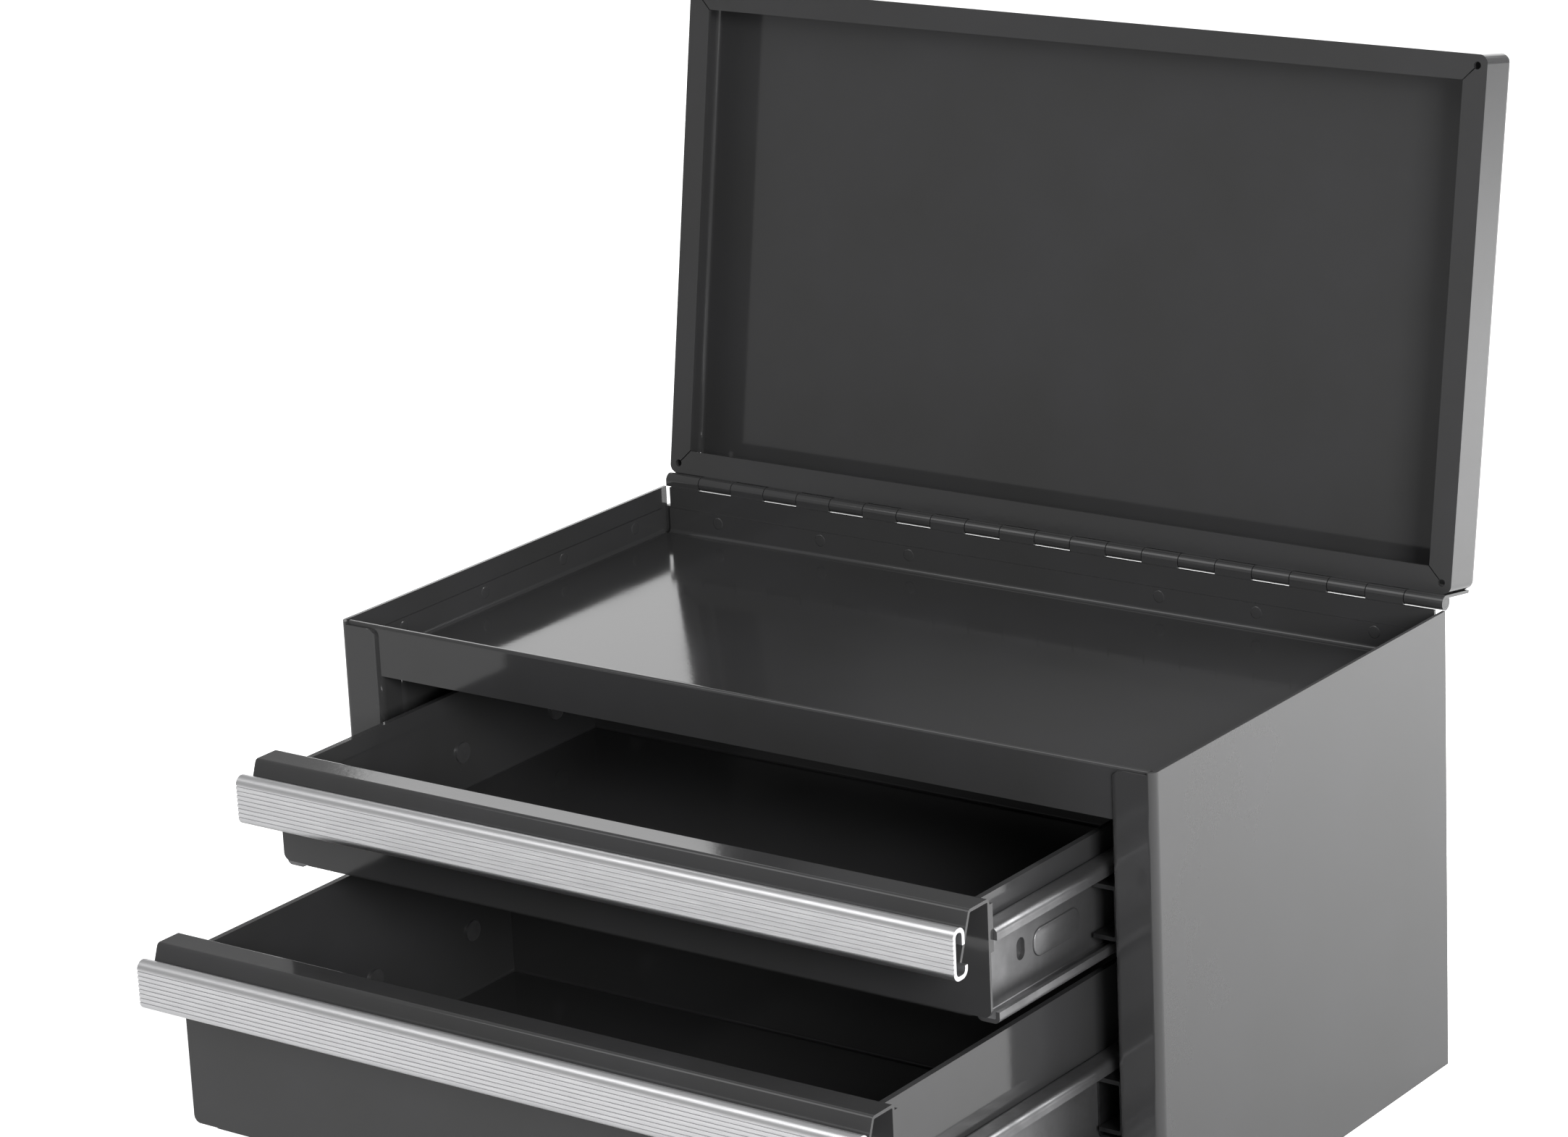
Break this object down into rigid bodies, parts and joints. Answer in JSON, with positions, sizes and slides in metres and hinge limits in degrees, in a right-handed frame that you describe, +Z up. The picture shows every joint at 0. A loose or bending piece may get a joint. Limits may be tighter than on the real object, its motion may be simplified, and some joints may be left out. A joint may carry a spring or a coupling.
{
  "type": "tool chest",
  "caption": "Small bench-top steel tool chest with a rear-hinged lid, an open top tray and full-width drawers on ball slides.",
  "frame": {"origin": "middle of the cabinet's base, on the surface it stands on", "axes": "+Z up, -Y towards the front where the drawers pull out, +X to the right when looking at the front"},
  "size_m": [0.277, 0.311, 0.2923],
  "materials": {
    "charcoal_paint": "gloss powder coat",
    "anodised_aluminium": "satin, ribbed",
    "zinc_plated_steel": "bright zinc plate",
    "bearing_steel": "polished"
  },
  "bodies": {
    "cabinet": {"back_panel": "charcoal_paint", "bottom_panel": "charcoal_paint", "front_bottom_rail": "charcoal_paint", "front_top_rail": "charcoal_paint", "hinge_leaf_body": "charcoal_paint", "hinge_pin": "zinc_plated_steel", "left_lower_slide_rail": "zinc_plated_steel", "left_side_panel": "charcoal_paint", "left_slide_lining": "charcoal_paint", "left_upper_slide_rail": "zinc_plated_steel", "rail_rivets": "zinc_plated_steel", "right_lower_slide_rail": "zinc_plated_steel", "right_side_panel": "charcoal_paint", "right_slide_lining": "charcoal_paint", "right_upper_slide_rail": "zinc_plated_steel", "top_tray": "charcoal_paint"},
    "lid": {"lid_pan": "charcoal_paint", "hinge_leaf_lid": "charcoal_paint"},
    "upper_drawer": {"upper_drawer_box": "charcoal_paint", "upper_drawer_front": "charcoal_paint", "upper_pull": "anodised_aluminium", "upper_slide_rivets": "zinc_plated_steel", "right_upper_slide_channel": "zinc_plated_steel", "left_upper_slide_channel": "zinc_plated_steel"},
    "lower_drawer": {"lower_drawer_box": "charcoal_paint", "lower_drawer_front": "charcoal_paint", "lower_pull": "anodised_aluminium", "lower_slide_rivets": "zinc_plated_steel", "right_lower_slide_channel": "zinc_plated_steel", "left_lower_slide_channel": "zinc_plated_steel"},
    "right_upper_cage": {"right_upper_ball_cage": "zinc_plated_steel", "right_upper_slide_balls": "bearing_steel"},
    "right_lower_cage": {"right_lower_ball_cage": "zinc_plated_steel", "right_lower_slide_balls": "bearing_steel"},
    "left_upper_cage": {"left_upper_ball_cage": "zinc_plated_steel", "left_upper_slide_balls": "bearing_steel"},
    "left_lower_cage": {"left_lower_ball_cage": "zinc_plated_steel", "left_lower_slide_balls": "bearing_steel"}
  },
  "joints": [
    {"name": "lid_hinge", "type": "hinge", "parent": "cabinet", "child": "lid", "pos_m": [0, 0.0802, 0.1396], "axis": [1, 0, 0], "range_deg": [0, 98.9]},
    {"name": "upper_drawer_slide", "type": "slide", "parent": "cabinet", "child": "upper_drawer", "axis": [0, -1, 0], "range_m": [-0.0513, 0.0487]},
    {"name": "right_upper_cage_roll", "type": "slide", "parent": "cabinet", "child": "right_upper_cage", "axis": [0, -1, 0], "range_m": [-0.02565, 0.02435]},
    {"name": "left_upper_cage_roll", "type": "slide", "parent": "cabinet", "child": "left_upper_cage", "axis": [0, -1, 0], "range_m": [-0.02565, 0.02435]},
    {"name": "lower_drawer_slide", "type": "slide", "parent": "cabinet", "child": "lower_drawer", "axis": [0, -1, 0], "range_m": [-0.0965, 0.0035]},
    {"name": "right_lower_cage_roll", "type": "slide", "parent": "cabinet", "child": "right_lower_cage", "axis": [0, -1, 0], "range_m": [-0.04825, 0.00175]},
    {"name": "left_lower_cage_roll", "type": "slide", "parent": "cabinet", "child": "left_lower_cage", "axis": [0, -1, 0], "range_m": [-0.04825, 0.00175]}
  ],
  "couplings": [
    {"joint": "right_upper_cage_roll", "follows": "upper_drawer_slide", "ratio": 0.5},
    {"joint": "left_upper_cage_roll", "follows": "upper_drawer_slide", "ratio": 0.5},
    {"joint": "right_lower_cage_roll", "follows": "lower_drawer_slide", "ratio": 0.5},
    {"joint": "left_lower_cage_roll", "follows": "lower_drawer_slide", "ratio": 0.5}
  ]
}
